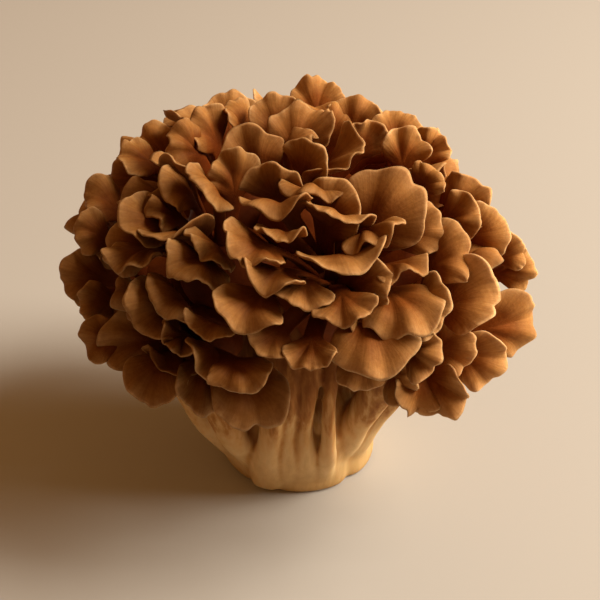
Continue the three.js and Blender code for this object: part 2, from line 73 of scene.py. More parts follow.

# %% [markdown]
# ## Where the front fronds stand
# Nobody could write a rule for exactly this cluster, so its front is set out as it stands
# seen from the front and 33 degrees above: one row for each frond.

# %% The front fronds
# right and up of the aim point (mm), heading (0 right, 90 up), width, out of the dome, lie
FRONT_FRONDS = np.array([
    # left rim, from the top down
    [-62, 50, 172, 16, 1.00, 0.6], [-74, 35, 190, 17, 1.00, 0.6], [-77, 24, 182, 15, 1.00, 0.6],
    [-82, 7, 188, 17, 1.00, 0.6], [-75, -4, 202, 15, 0.97, 0.6], [-75, -14, 195, 14, 0.95, 0.6],
    [-68, -18, 208, 21, 1.00, 0.7], [-52, -36, 255, 20, 0.98, 0.6], [-35, -38, 250, 18, 1.00, 0.7],
    # left, inside the rim
    [-62, 27, 195, 19, 1.03, 0.5], [-52, 32, 190, 14, 0.98, 0.5], [-34, 15, 238, 17, 1.00, 0.5],
    [-48, 39, 205, 17, 1.02, 0.55], [-36, 38, 228, 20, 1.05, 0.6], [-44, 57, 168, 16, 1.03, 0.4],
    [-37, 63, 160, 17, 1.02, 0.4], [-50, -1, 215, 21, 1.02, 0.5], [-41, 8, 230, 21, 1.04, 0.5],
    [-59, -5, 206, 22, 1.03, 0.5], [-32, -14, 242, 17, 1.02, 0.5], [-45, -17, 225, 13, 0.98, 0.4],
    [-32, -27, 242, 18, 1.03, 0.6],
    # top
    [-24, 71, 98, 19, 1.00, 0.6], [-7, 70, 84, 18, 0.99, 0.7], [7, 76, 78, 17, 1.05, 0.6],
    [20, 70, 82, 17, 1.00, 0.6], [35, 65, 68, 16, 1.00, 0.6], [48, 57, 45, 13, 1.00, 0.4],
    [38, 58, 66, 15, 1.00, 0.7], [24, 61, 86, 14, 0.97, 0.6], [-18, 60, 88, 20, 0.97, 0.5],
    # right
    [46, 45, 50, 12, 1.04, 0.7], [39, 42, 47, 26, 1.10, 0.9], [48, 29, 22, 18, 1.02, 0.8],
    [58, 20, 8, 21, 1.04, 0.9], [64, 38, 34, 19, 1.00, 0.7], [61, 31, 22, 15, 0.97, 0.7],
    [70, 28, 38, 18, 1.00, 0.7], [76, 19, 24, 13, 0.97, 0.6], [80, 11, 2, 15, 1.00, 0.7],
    [68, 2, -4, 22, 1.04, 0.9], [81, -7, -10, 21, 1.00, 0.9], [70, -24, -30, 18, 1.00, 0.8],
    [60, -17, -8, 16, 1.00, 0.8], [55, -37, -44, 18, 1.03, 0.8], [39, -40, -94, 16, 1.00, 0.6],
    [48, -20, -16, 18, 1.04, 0.8], [29, -27, 280, 25, 1.08, 0.85], [40, -31, -18, 17, 1.00, 0.6],
    [51, -4, -20, 20, 1.05, 0.7], [39, 10, -58, 16, 1.06, 0.3], [31, 7, 4, 16, 1.02, 0.6],
    # middle
    [18, 39, 40, 20, 1.06, 0.7], [7, 53, 50, 17, 1.04, 0.6], [-11, 29, 268, 21, 1.08, 0.68],
    [-11, 47, 92, 18, 1.00, 0.5], [-25, 51, 118, 17, 1.02, 0.6], [10, 27, 250, 21, 1.09, 0.62],
    [28, 20, 285, 19, 1.09, 0.60], [18, 7, 285, 24, 1.08, 0.66], [-8, 20, 265, 15, 1.04, 0.62],
    [-22, 13, 240, 20, 1.08, 0.62], [-13, 3, 250, 18, 1.07, 0.66], [0, -3, 270, 18, 1.04, 0.66],
    [17, -9, 280, 18, 1.07, 0.62], [-21, -11, 262, 21, 1.06, 0.70], [40, -12, 280, 23, 1.08, 0.66],
    # low front
    [-20, -32, 262, 18, 1.06, 0.6], [-13, -19, 242, 15, 1.01, 0.4], [3, -24, 270, 15, 1.04, 0.5],
    [-15, -44, 262, 24, 1.03, 0.8], [24, -31, 285, 16, 0.98, 0.7],
])
print("front fronds:", len(FRONT_FRONDS))

# %% [markdown]
# ## Vectors and seeded numbers
# No two fronds are alike, but each must come out the same every time the script runs. So the chance in
# a frond's shape is drawn from its own number by a formula, and no random generator keeps a state.

# %% Small helpers
def draw(frond, purpose):
    """The same number from 0 to 1 each time: the fraction left of a large multiple of a sine."""
    large = np.sin(np.asarray(frond) * 12.9898 + purpose * 78.233 + 1.7) * 43758.5453
    return large - np.floor(large)


def between(low, high, frond, purpose):
    """A seeded number between low and high."""
    return low + (high - low) * draw(frond, purpose)


def unit(v):
    """Vectors scaled to length one."""
    return v / np.linalg.norm(v, axis=-1, keepdims=True)


def dot(p, q):
    """Dot product along the last axis, kept as a column."""
    return np.sum(p * q, axis=-1, keepdims=True)


def eased(value, low, high):
    """0 below low, 1 above high, and a smooth step 3s^2 - 2s^3 between."""
    s = np.clip((value - low) / (high - low), 0, 1)
    return s * s * (3 - 2 * s)


def turned(v, axis, angle):
    """v turned about a unit axis by an angle: Rodrigues' formula."""
    angle = np.asarray(angle)[..., None]
    along_axis = axis * dot(axis, v) * (1 - np.cos(angle))
    return v * np.cos(angle) + np.cross(axis, v) * np.sin(angle) + along_axis


print("frond 0 draws %.3f for purpose 1, frond 1 draws %.3f" % (draw(0, 1), draw(1, 1)))

# %% [markdown]
# ## From the front view onto the dome
# Each row above is a line of sight. Where it meets the dome, the frond's margin stands. The dome's
# outward direction there and the frond's heading then say how the frond lies.

# %% Place the front fronds
VIEW_UP = np.array([0.0, np.sin(VIEW_ELEVATION), np.cos(VIEW_ELEVATION)])
VIEW_BACK = np.array([0.0, -np.cos(VIEW_ELEVATION), np.sin(VIEW_ELEVATION)])
EYE = AIM + VIEW_BACK * VIEW_DISTANCE


def dome_normal(p):
    """Outward direction of the dome: its equation's slope."""
    return unit((p - CROWN_CENTRE) / CROWN ** 2)


def along_dome(direction, normal):
    """The part of a direction that lies along the dome."""
    return unit(direction - normal * dot(direction, normal))


def place_in_view(across, up, out):
    """Where sight lines meet the dome grown by `out`: the near root of a quadratic equation."""
    target = AIM + across[:, None] * np.array([1.0, 0, 0]) + up[:, None] * VIEW_UP
    ray = unit(target - EYE)
    size = CROWN * out[:, None]
    start, step = (EYE - CROWN_CENTRE) / size, ray / size
    a, b = dot(step, step), dot(start, step)
    miss = np.maximum(0, b ** 2 - a * (dot(start, start) - 1))
    return EYE + ray * (-b - np.sqrt(miss)) / a


across, up, heading, width, out, lie = FRONT_FRONDS.T
tips = place_in_view(across, up, out)
normals = dome_normal(tips)
heading = np.radians(heading)[:, None]
growth = np.cos(heading) * np.array([1.0, 0, 0]) + np.sin(heading) * VIEW_UP
normals = unit(normals + LOOK_OUT * VIEW_BACK)
alongs = along_dome(growth, normals)
indices = np.arange(len(tips))
print("lowest front margin is %.0f mm up" % tips[:, 2].min())

# %% [markdown]
# ## The rest of the dome
# Behind and below, fronds stand where there is room. Points of a golden-angle spiral cover a dome
# evenly, so each is tried in turn and kept if no margin is near it yet.

# %% Fill the back
spiral = np.arange(FILL_CANDIDATES)
cos_polar = 1 - (spiral + 0.5) / FILL_CANDIDATES * (1 - np.cos(np.radians(FILL_POLAR)))
sin_polar = np.sqrt(1 - cos_polar ** 2)
turn = spiral * np.pi * (3 - np.sqrt(5))
sphere = np.stack([sin_polar * np.cos(turn), sin_polar * np.sin(turn), cos_polar], axis=1)
low_side = 1 - LOW_SHOULDER * np.maximum(0, np.cos(turn - LOW_TOWARD)) * sin_polar
out_of_dome = between(*FILL_OUT, spiral, 21) * low_side
candidates = sphere * CROWN * out_of_dome[:, None] + CROWN_CENTRE
in_window = np.linalg.norm(candidates - WINDOW, axis=1) < WINDOW_RADIUS
chosen = []
for i in np.flatnonzero(~in_window):
    standing = np.vstack([tips, candidates[chosen]])
    if np.linalg.norm(standing - candidates[i], axis=1).min() >= FILL_SPACING:
        chosen.append(i)
fill_index = FILL_FIRST + np.array(chosen)
fill_tips = candidates[chosen]
fill_normals = dome_normal(fill_tips)
outward_and_down = np.column_stack([fill_tips[:, :2], np.full(len(chosen), -FILL_FALL)])
downhill = along_dome(outward_and_down, fill_normals)
fill_turns = np.radians(between(-FILL_TURN, FILL_TURN, fill_index, 1))
fill_alongs = turned(downhill, fill_normals, fill_turns)

index = np.concatenate([indices, fill_index])
tip = np.vstack([tips, fill_tips])
normal = np.vstack([normals, fill_normals])
along = np.vstack([alongs, fill_alongs])
width = np.concatenate([width, between(*FILL_WIDTH, fill_index, 2)])
lie = np.concatenate([lie, between(*FILL_LIE, fill_index, 3)])
print("fronds:", len(index), "of which fill:", len(chosen))

# %% [markdown]
# ## Hubs
# A branch ends in a hub. Each frond belongs to the hub nearest its root, a little behind and below
# its margin, so a spray is a natural tuft and not a slice of the crown.

# %% Hubs and roots
ROOT_DEPTH, ROOT_BACK = 14, 7  # mm from a margin, inward and back along the frond
hubs, hub_stalks, hub_radii = [], [], []
for count, radius, height, first, step, stalks, hub_radius in HUB_RINGS:
    azimuth = np.radians(first - 90 + step * np.arange(count))
    heights = np.full(count, height)
    hubs.append(np.column_stack([radius * np.cos(azimuth), radius * np.sin(azimuth), heights]))
    hub_stalks += [stalks] * count
    hub_radii += [hub_radius] * count
hubs = np.vstack(hubs)
roots = tip - ROOT_DEPTH * normal - ROOT_BACK * along
spray_of = np.argmin(np.linalg.norm(roots[:, None] - hubs[None], axis=2), axis=1)
hub = hubs[spray_of]
print("fronds in each spray:", np.bincount(spray_of))

# %% [markdown]
# ## Midribs
# A frond rises out of its hub and then bends over toward its margin. A cubic curve with four points says
# that with two directions, and every point of the sheet can later be found on it by a formula.

# %% Midribs
STANDING, LYING = 22, 84  # degrees that a frond leans out of the dome
TILT, ROLL = 7, 16  # degrees of chance in its lean and about its own length
HEART = np.array([0, 0, 45.0])  # where the branches seem to come from
RISE, RUN, RUN_WIDTHS = 0.36, 0.55, 0.85  # lengths of the curve's two arms, by reach or by width
lean = np.radians(STANDING + (LYING - STANDING) * lie + between(-TILT, TILT, index, 4))[:, None]
outward = normal * np.cos(lean) + along * np.sin(lean)
face = normal * np.sin(lean) - along * np.cos(lean)
side = turned(np.cross(outward, face), outward, np.radians(between(-ROLL, ROLL, index, 5)))
reach = np.linalg.norm(tip - hub, axis=1)
upright = unit(unit(hub - HEART) + unit(tip - hub))
rib = np.stack([
    hub,
    hub + upright * reach[:, None] * RISE,
    tip - outward * np.minimum(reach * RUN, width * RUN_WIDTHS)[:, None],
    tip,
])
print("midribs reach %.0f to %.0f mm from their hubs" % (reach.min(), reach.max()))

# %% [markdown]
# ## One frond
# A frond is a sheet over two parameters: a runs across it from -1 to 1, v from 0 at the hub to 1 at
# the margin. A narrow neck opens into a rounded fan. Modelling one frond and copying it would be less
# work, but copies show, so each draws its own measures. The first number of a row is the least and the
# second the most that a frond draws, and the third keeps its draws apart from the others.

# %% What each frond draws for itself
HABITS = {
    "opening": (1.3, 2.1, 15),  # how soon the neck widens into the fan
    "scallops": (0.7, 1.5, 6), "scallop_phase": (0, 3.14, 7), "lobe_depth": (0.03, 0.10, 20),
    "crinkles": (2.2, 4.0, 13), "crinkle_phase": (0, 6.3, 14),
    "cup": (-0.05, 0.6, 8),  # share of the half width
    "ruffle": (1.0, 2.9, 11), "ruffles": (1.1, 2.1, 9), "ruffle_phase": (0, 6.3, 10),
    "crease": (0.3, 1.4, 22),
    "frill": (0.25, 1.1, 16), "frills": (2.0, 3.4, 17), "frill_phase": (0, 6.3, 18),
    "frill_swells": (0.3, 0.8, 23), "frill_swell_phase": (0, 6.3, 24),
    "crimp": (0.12, 0.42, 25), "crimps": (4.5, 7, 26), "crimp_phase": (0, 6.3, 27),
    "dimple": (0.1, 0.4, 28),
    "dimples_across": (2, 3.4, 29), "dimple_phase_across": (0, 6.3, 31),
    "dimples_along": (2, 3.4, 32), "dimple_phase_along": (0, 6.3, 33),
    "lip": (-1.6, 2.4, 12),
    "wrinkles": (4, 7, 19),
}


def per_frond(values):
    """A value for each frond, shaped to meet a grid."""
    return np.asarray(values)[:, None, None]


own = {name: per_frond(between(low, high, index, purpose)) for name, (low, high, purpose) in HABITS.items()}
print("measures that each frond draws:", len(own))

# %% [markdown]
# ## From a square to a fan
# A square of parameters has corners and a fan has none, so the square is squeezed into a disc, and folds
# and lobes run along the turn round that disc. They then radiate from the neck, as on the real frond.

# %% Places on the fan
FADE_END = 0.65  # t above which the whole rim counts as margin


def to_margin(a, v):
    """How near the margin a place on the fan lies, 0 at the neck and 1 all round the rim: the radius
    sqrt(a^2 + t^2 - a^2 t^2) that squeezes a square into a disc, faded in by t above the neck. Also t,
    the fade, and the turn round the disc from the midrib, where 1 is the square's corner."""
    t = np.clip((v - FAN_START) / (1 - FAN_START), 0, 1)
    fade = eased(t, 0, FADE_END)
    radius = np.sqrt(a ** 2 + t ** 2 - a ** 2 * t ** 2)
    turn = np.arctan2(a * np.sqrt(1 - t ** 2 / 2), t * np.sqrt(1 - a ** 2 / 2) + 1e-6) / (np.pi / 4)
    return t, t * (1 - fade) + radius * fade, fade, turn


def levelled(value, other):
    """A parameter that levels off at the square's corners. The disc has no room there, so anything that
    still rose along the diagonal would end in a point. With 7 the two slopes cancel exactly."""
    return value * (1 - other ** 2 * value ** 4 / 7)


def wave(place, count, phase=0.0):
    """A sine with `count` half waves in each unit of place."""
    return np.sin(np.pi * count * place + phase)


print("turn at the square's corner: %.2f" % to_margin(np.float64(1), np.float64(1))[3])

# %% [markdown]
# ## The sheet
# The outline swells and notches in lobes. Out of its plane the sheet cups, folds more and more toward the
# margin and rolls its lip over, and finer waves crimp the margin. Sculpting would give the same forms, but
# only on one frond at a time.

# %% The frond's sheet
FAN_HALF, FAN_LENGTH = 0.69, 0.97  # of a frond's width, before the fan is rounded
CRINKLE, WRINKLE = 0.26, 0.11  # mm
LIP_START = 0.6  # how near the margin the lip begins to roll


def fan_outline(a, t, margin, fade, turn):
    """Half widths, lengths along the fan and the fan's whole length. Across: a times a half width that
    eases from neck to fan. Along: t shortened by a squared, so the margin is round. Both swell with
    the lobes of a squared cosine and with small crinkles."""
    w = per_frond(width)
    fan_length = np.minimum(w * FAN_LENGTH, per_frond(reach) * (1 - FAN_START))
    opening = 1 - (1 - t) ** own["opening"]
    lobes = own["lobe_depth"] * ((scalloped(turn) + 0.04) ** 0.3 - 0.75)
    crinkle = CRINKLE / w * wave(turn, own["crinkles"], own["crinkle_phase"])
    swell = 1 + (lobes * margin ** 3 + crinkle * margin ** 6) * fade
    half_width = NECK_HALF + (w * FAN_HALF - NECK_HALF) * opening
    x = a * half_width * np.sqrt(1 - t ** 2 * 0.5) * swell
    fan = fan_length * t * np.sqrt(1 - ROUNDNESS * a ** 2) * swell
    return x, fan, fan_length


def scalloped(turn):
    """Scallops round the fan, 0 in a notch and 1 on a lobe: a squared cosine of the turn."""
    return np.cos(np.pi * own["scallops"] * turn + own["scallop_phase"]) ** 2


def relief(a, t, margin, fade, turn):
    """How far the sheet stands out of its plane, in mm: a cup in a squared, sines of the turn that grow
    toward the margin, creases below the notches, low dimples and a lip that curls as a square."""
    soft_t, soft_a = levelled(t, a), levelled(a, t)
    cup = own["cup"] * per_frond(width) / 2 * soft_a ** 2 * soft_t ** 1.4
    ruffle = own["ruffle"] * soft_t ** 2.2 * wave(turn, own["ruffles"], own["ruffle_phase"])
    crease = own["crease"] * ((scalloped(turn) + 0.12) ** 0.3 - 0.8) * soft_t ** 2
    frill = own["frill"] * margin ** 6 * wave(turn, own["frills"], own["frill_phase"])
    frill = frill * (0.55 + 0.45 * wave(turn, own["frill_swells"], own["frill_swell_phase"]))
    crimp = own["crimp"] * margin ** 9 * wave(turn, own["crimps"], own["crimp_phase"])
    disc_x, disc_y = a * np.sqrt(1 - t ** 2 / 2), t * np.sqrt(1 - a ** 2 / 2)
    dimple = own["dimple"] * margin
    dimple = dimple * wave(disc_x, own["dimples_across"], own["dimple_phase_across"])
    dimple = dimple * wave(disc_y, own["dimples_along"], own["dimple_phase_along"])
    lip = -own["lip"] * np.maximum(0, (margin - LIP_START) / (1 - LIP_START)) ** 2 * fade
    wrinkle = WRINKLE * wave(turn, own["wrinkles"]) * soft_t * (1.2 - soft_t)
    return cup + ruffle + crease + frill + crimp + dimple + lip + wrinkle


def along_midrib(u):
    """Points and directions on every midrib: a cubic Bezier curve, and straight on past its end."""
    p0, p1, p2, p3 = rib[:, :, None, None, :]
    s = np.clip(u, 0, 1)[..., None]
    point = p0 * (1 - s) ** 3 + 3 * p1 * s * (1 - s) ** 2 + 3 * p2 * s ** 2 * (1 - s) + p3 * s ** 3
    tangent = unit((p1 - p0) * (1 - s) ** 2 + 2 * (p2 - p1) * s * (1 - s) + (p3 - p2) * s ** 2)
    return point + tangent * (np.maximum(0, u - 1) * per_frond(reach))[..., None], tangent


def frond_sheet(a, v):
    """Points of every frond at once: on the midrib by length, sideways by half width, up by relief."""
    t, margin, fade, turn = to_margin(a, v)
    far = per_frond(reach)
    x, fan, fan_length = fan_outline(a, t, margin, fade, turn)
    length = np.minimum(v / FAN_START, 1) * (far - fan_length) + fan
    centre, tangent = along_midrib(length / far)
    sideways = side[:, None, None, :]
    sideways = unit(sideways - tangent * dot(sideways, tangent))
    up_axis = unit(np.cross(sideways, tangent))
    height = relief(a, t, margin, fade, turn)
    return centre + sideways * x[..., None] + up_axis * height[..., None]


fan_lengths = np.minimum(width * FAN_LENGTH, reach * (1 - FAN_START))
print("fans are %.0f to %.0f mm long" % (fan_lengths.min(), fan_lengths.max()))

# %% [markdown]
# ## Flesh on the sheet
# The sheet gets its flesh on both sides along its own normals. A solidify modifier could do it, but the
# thickness here falls from neck to margin, and to nothing at the rim along a round curve. The rim is
# soft that way, and both faces share one rim line, which closes the body.

# %% Thicken every frond
COLUMNS, ROWS = 41, 33
EDGE_CROWDING = 0.35  # columns stand closer toward both edges
ROW_SPREAD, ROW_SHIFT = 0.86, 0.035  # rows stand closer toward the margin
SIDE_FULLNESS, TIP_FULLNESS = 14, 40  # the higher, the fuller the flesh stays up to the rim
edge = np.linspace(-1, 1, COLUMNS)
a_line = np.sin(edge * np.pi / 2) * EDGE_CROWDING + edge * (1 - EDGE_CROWDING)
v_line = np.linspace(0, 1, ROWS) ** ROW_SPREAD
v_line = v_line + ROW_SHIFT * np.sin(v_line * np.pi) ** 2 * v_line
a_grid, v_grid = np.meshgrid(a_line, v_line)
sheet = frond_sheet(a_grid[None], v_grid[None])
across_step = np.gradient(sheet, axis=2)
along_step = np.gradient(sheet, axis=1)
sheet_normal = unit(np.cross(across_step, along_step) + 1e-12)
t_grid, margin_grid, _, turn_grid = to_margin(a_grid, v_grid)
tone_grid = np.where(t_grid > 0, FAN_START + (1 - FAN_START) * margin_grid, v_grid)
flesh = np.where(t_grid > 0, MIDDLE_THICK + (MARGIN_THICK - MIDDLE_THICK) * t_grid,
                 NECK_THICK + (MIDDLE_THICK - NECK_THICK) * v_grid / FAN_START)
fullness = 2 + SIDE_FULLNESS * t_grid
side_round = np.sqrt(np.clip(1 - np.abs(a_grid) ** fullness, 0, 1))
tip_round = np.sqrt(np.clip(1 - v_grid ** TIP_FULLNESS, 0, 1))
half_flesh = (flesh / 2 * side_round * tip_round)[None, ..., None]
top = sheet + sheet_normal * half_flesh
bottom = sheet - sheet_normal * half_flesh
widest = np.linalg.norm(sheet[:, :, -1] - sheet[:, :, 0], axis=2).max(axis=1)
print("frond grid:", top.shape, "fronds %.0f to %.0f mm wide" % (widest.min(), widest.max()))

# %% [markdown]
# ## Meshes
# Blender can take a whole mesh from arrays, which is far quicker than adding faces one by one. Each point
# also carries values that the materials read later, such as how near its frond's margin it lies.

# %% Build meshes from arrays
PAINTED_SHADE_START, PAINTED_SHADE_DEPTH = 0.08, 0.34  # shares of the dome's radius below its surface, where painted shade starts and where it is full


def add_values(mesh, key, values):
    """A number for each point, kept in the mesh under a name."""
    mesh.attributes.new(key, "FLOAT", "POINT").data.foreach_set("value", values.astype(np.float32))


def new_piece(name, points, quads, triangles, values):
    """A mesh object in metres, with point attributes, set whole from arrays. One of them, inside, says
    how deep in the crown a point lies, which the frond material turns into painted shade."""
    mesh = bpy.data.meshes.new(name)
    mesh.vertices.add(len(points))
    mesh.vertices.foreach_set("co", (points * MM).astype(np.float32).ravel())
    corners = np.concatenate([quads.ravel(), triangles.ravel()])
    quad_starts = np.arange(len(quads)) * 4
    triangle_starts = len(quads) * 4 + np.arange(len(triangles)) * 3
    starts = np.concatenate([quad_starts, triangle_starts])
    mesh.loops.add(len(corners))
    mesh.loops.foreach_set("vertex_index", corners.astype(np.int32))
    mesh.polygons.add(len(starts))
    mesh.polygons.foreach_set("loop_start", starts.astype(np.int32))
    mesh.update(calc_edges=True)
    mesh.polygons.foreach_set("use_smooth", np.ones(len(starts), bool))
    for key, value in values.items():
        add_values(mesh, key, value)
    deep = 1 - np.linalg.norm((points - CROWN_CENTRE) / CROWN, axis=1)
    add_values(mesh, "inside", np.clip((deep - PAINTED_SHADE_START) / PAINTED_SHADE_DEPTH, 0, 1))
    mesh.validate()
    piece = bpy.data.objects.new(name, mesh)
    bpy.context.scene.collection.objects.link(piece)
    return piece


def strip_faces(number):
    """Quads between each row of point numbers and the next, round and round."""
    beside = np.roll(number, -1, axis=1)
    return np.stack([number[:-1], beside[:-1], beside[1:], number[1:]], axis=-1).reshape(-1, 4)


def ring_faces(rows, sides, upward=True):
    """Faces of a body of rings with one point below the first and one above the last: quads between the
    rings and triangles to the two points. They face out if the rings run upward, else they are flipped."""
    number = 1 + np.arange(rows * sides).reshape(rows, sides)
    beside = np.roll(number, -1, axis=1)
    quads = strip_faces(number)
    first = np.zeros(sides, int)
    last = np.full(sides, rows * sides + 1)
    triangles = np.vstack([
        np.stack([first, beside[0], number[0]], axis=-1),
        np.stack([last, number[-1], beside[-1]], axis=-1),
    ])
    if not upward:
        quads = np.roll(quads[:, ::-1], 1, axis=1)
        triangles = np.roll(triangles[:, ::-1], 1, axis=1)
    return quads, triangles


def joined(bodies):
    """Several bodies as one set of arrays: later ones count on from the earlier ones' points."""
    counts = np.cumsum([0] + [len(body[0]) for body in bodies])
    points = np.vstack([body[0] for body in bodies])
    quads = np.vstack([body[1] + start for body, start in zip(bodies, counts)])
    triangles = np.vstack([body[2] + start for body, start in zip(bodies, counts)])
    values = {key: np.concatenate([body[3][key] for body in bodies]) for key in bodies[0][3]}
    return points, quads, triangles, values


print("faces of a body of 3 rings with 8 sides:", sum(len(faces) for faces in ring_faces(3, 8)))

# %% [markdown]
# ## One frond's body
# A frond's rows are rings: across the upper face and back along the lower one. The first row shrinks
# to one point inside the hub and the last is the rim line that both faces share.

# %% A frond from its grid
def frond_body(i):
    """Points, quads, triangles and values of one frond."""
    rows, columns = a_grid.shape
    ring = 2 * (columns - 1)
    under = slice(columns - 2, 0, -1)
    rings = np.concatenate([top[i, 1:-1], bottom[i, 1:-1, under]], axis=1)
    points = np.vstack([sheet[i, 0, columns // 2][None], rings.reshape(-1, 3), sheet[i, -1]])
    number = 1 + np.arange((rows - 2) * ring).reshape(rows - 2, ring)
    rim = 1 + (rows - 2) * ring + np.arange(columns)
    number = np.vstack([number, np.concatenate([rim, rim[under]])])
    pole = np.zeros(ring, int)
    triangles = np.stack([pole, np.roll(number[0], -1), number[0]], axis=-1)

    def spread(upper, lower):
        """Grids of both faces in the order of the points."""
        body = np.concatenate([upper[1:-1], lower[1:-1, under]], axis=1).ravel()
        return np.concatenate([upper[0, :1], body, upper[-1]])

    one = np.ones_like(a_grid)
    values = {
        "across": spread(turn_grid, turn_grid),
        "along": spread(tone_grid, tone_grid),
        "face": spread(one, -one),
        "frond": np.full(len(points), draw(index[i], 30)),
    }
    return points, strip_faces(number), triangles, values


print("a frond has %d points" % len(frond_body(0)[0]))

# %% [markdown]
# ## Knots
# The knot that a tuft grows from is a lump of flesh. A plain ball would catch the light as a ball, so low
# waves run over it, and its lower half is drawn in toward the branch.

# %% A knot of flesh
KNOT_RINGS, KNOT_SIDES = 16, 28
KNOT_LUMPS = 0.05  # share of the radius
KNOT_TONE = 0.6  # a knot is coloured as a frond is at this place along it


def knot(centre, radius, seed):
    """A sphere from two angles, with low waves in its radius. Its lower half is drawn in and down."""
    polar_line = np.linspace(0, np.pi, KNOT_RINGS + 2)[1:-1]
    turn_line = np.arange(KNOT_SIDES) / KNOT_SIDES * 2 * np.pi
    polar, turn_at = np.meshgrid(polar_line, turn_line, indexing="ij")
    lumps = np.sin(3 * turn_at + seed) * np.sin(4 * polar)
    lumps = lumps + np.sin(5 * turn_at + 2.1 * seed) * np.sin(3 * polar + seed)
    r = radius * (1 - KNOT_LUMPS + KNOT_LUMPS * lumps * np.sin(polar))
    level = r * np.sin(polar)
    shell = np.stack([level * np.cos(turn_at), level * np.sin(turn_at), r * np.cos(polar)], axis=-1)
    points = np.vstack([[0, 0, radius], shell.reshape(-1, 3), [0, 0, -radius]])
    below = np.clip(-points[:, 2:] / radius, 0, 1)
    points = points * (1 + below * np.array([-KNOT_TAPER, -KNOT_TAPER, KNOT_DROP])) + centre
    quads, triangles = ring_faces(KNOT_RINGS, KNOT_SIDES, upward=False)
    zero = np.zeros(len(points))
    values = {"across": zero, "along": zero + KNOT_TONE, "face": zero + 1, "frond": zero + 0.5}
    return points, quads, triangles, values


print("a knot has %d points" % len(knot(hubs[0], hub_radii[0], 0)[0]))

# %% [markdown]
# ## Sprays
# Each spray is one mesh, its fronds and its knot pushed into each other, and takes the place of one solid
# of the frame. That keeps the parts as few as the tufts that a real cluster is pulled apart into.

# %% Make the sprays
KNOT_FIT = 0.97  # a knot's share of its hub's radius
sprays = []
for number, centre in enumerate(hubs):
    members = np.flatnonzero(spray_of == number)
    bodies = [frond_body(i) for i in members] + [knot(centre, hub_radii[number] * KNOT_FIT, number)]
    piece = new_piece("fronds_%02d" % (number + 1), *joined(bodies))
    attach(piece, "root")
    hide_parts("spray_%02d" % (number + 1))
    sprays.append(piece)
print("sprays:", len(sprays), "faces:", sum(len(s.data.polygons) for s in sprays))

# %% [markdown]
# ## Foot and stalks
# The foot flares out of its cut face in soft flutes, which part higher up into stalks. Foot and stalks
# are swept separately, and a voxel remesh melts them into one skin with rounded grooves between them.
# A stalk sways a little and isn't quite round, since a plain tube would look like a pipe.

# %% A tube along a path
TUBE_RINGS, TUBE_SIDES, TUBE_ROUNDS = 40, 24, 6
SWAY, SWAY_WAVES = 0.9, 7.0  # mm, and radians along the whole tube
SWELL, SWELL_WAVES = 0.07, 11.0  # share of the radius
LOBE, LOBE_TWIST = 0.09, 2.0  # share of the radius, and radians that the lobes turn
TUBE_END = 0.4  # how far a tube's end bulges, in radii


def tube(points, radii, seed):
    """A closed tube: circles carried along a smooth path, shrunk to a point at both ends. The path
    sways a little and the outline is a soft three-lobed one that turns as it rises."""
    s = np.linspace(0, 1, TUBE_RINGS)
    knots = np.linspace(0, 1, len(points))
    path = np.column_stack([np.interp(s, knots, column) for column in np.array(points).T])
    for _ in range(TUBE_ROUNDS):
        path[1:-1] = (path[:-2] + path[2:] + 2 * path[1:-1]) / 4
    sway = SWAY * np.sin(s * SWAY_WAVES + 2.4 * seed) * np.sin(np.pi * s)
    path[:, 0] += sway
    path[:, 1] += sway * np.cos(seed)
    r = np.interp(s, np.linspace(0, 1, len(radii)), radii)
    r = r * (1 + SWELL * np.sin(s * SWELL_WAVES + 1.7 * seed))
    ahead = unit(np.gradient(path, axis=0))
    one = unit(np.cross(ahead, np.array([0.3, 0.2, 1.0]) + 0 * ahead))
    two = np.cross(ahead, one)
    around = np.arange(TUBE_SIDES) / TUBE_SIDES * 2 * np.pi
    lobed = r[:, None] * (1 + LOBE * np.cos(3 * around + seed + LOBE_TWIST * s[:, None]))
    circle = one[:, None] * np.cos(around)[:, None] + two[:, None] * np.sin(around)[:, None]
    rings = path[:, None] + lobed[..., None] * circle
    start = path[0] - ahead[0] * r[0] * TUBE_END
    end = path[-1] + ahead[-1] * r[-1] * TUBE_END
    return np.vstack([start, rings.reshape(-1, 3), end]), *ring_faces(TUBE_RINGS, TUBE_SIDES), {}


print("a tube has %d points" % len(tube([[0, 0, 0], [0, 0, 9]], [1, 1], 0)[0]))

# %% [markdown]
# The foot is a profile carried round the axis: a radius for each height, which notches push in. In
# Blender the screw modifier turns a profile too, but without the notches. The stalks' paths are worked
# out from the hubs' places, so they stay joined to them if a hub is moved.

# %% Foot and stalk shapes
FOOT_RADIUS, FOOT_BEVEL, FOOT_TOP, FOOT_FLARE, FOOT_LOBES, FOOT_RIPPLE = 26.5, 2.2, 52.0, 6.0, 5, 2.2
FOOT_SIDES = 120
FOOT_LEAN, FOOT_LEAN_RISE = 0.12, 14  # the left side flares more, in full above this height
STALK_FOOT, STALK_WAIST, STALK_TOP, STALK_RING, STALK_SPREAD = 6.3, 5.0, 7.5, 17.5, 11.0
STALK_SHARE = 36  # mm: the stalks of a hub that is nearer the axis than this start nearer it too
STALK_HEIGHTS, STALK_OUT = (7, 15, 28), (0.55, 0.79, 1.06)  # mm, and shares of the hub's distance
STALK_INTO_HUB, LEAN_END = 4, 5  # mm below a hub's middle: where its stalks end, and where they stop leaning
STALK_TURN, STALK_BEND, STALK_SWELL = (-4, 4), (-2, 3), (-1.2, 1.6)  # chance: degrees, mm up, mm of radius
STALK_BACK = 0.6  # share of its turn to the side that a stalk keeps at the hub


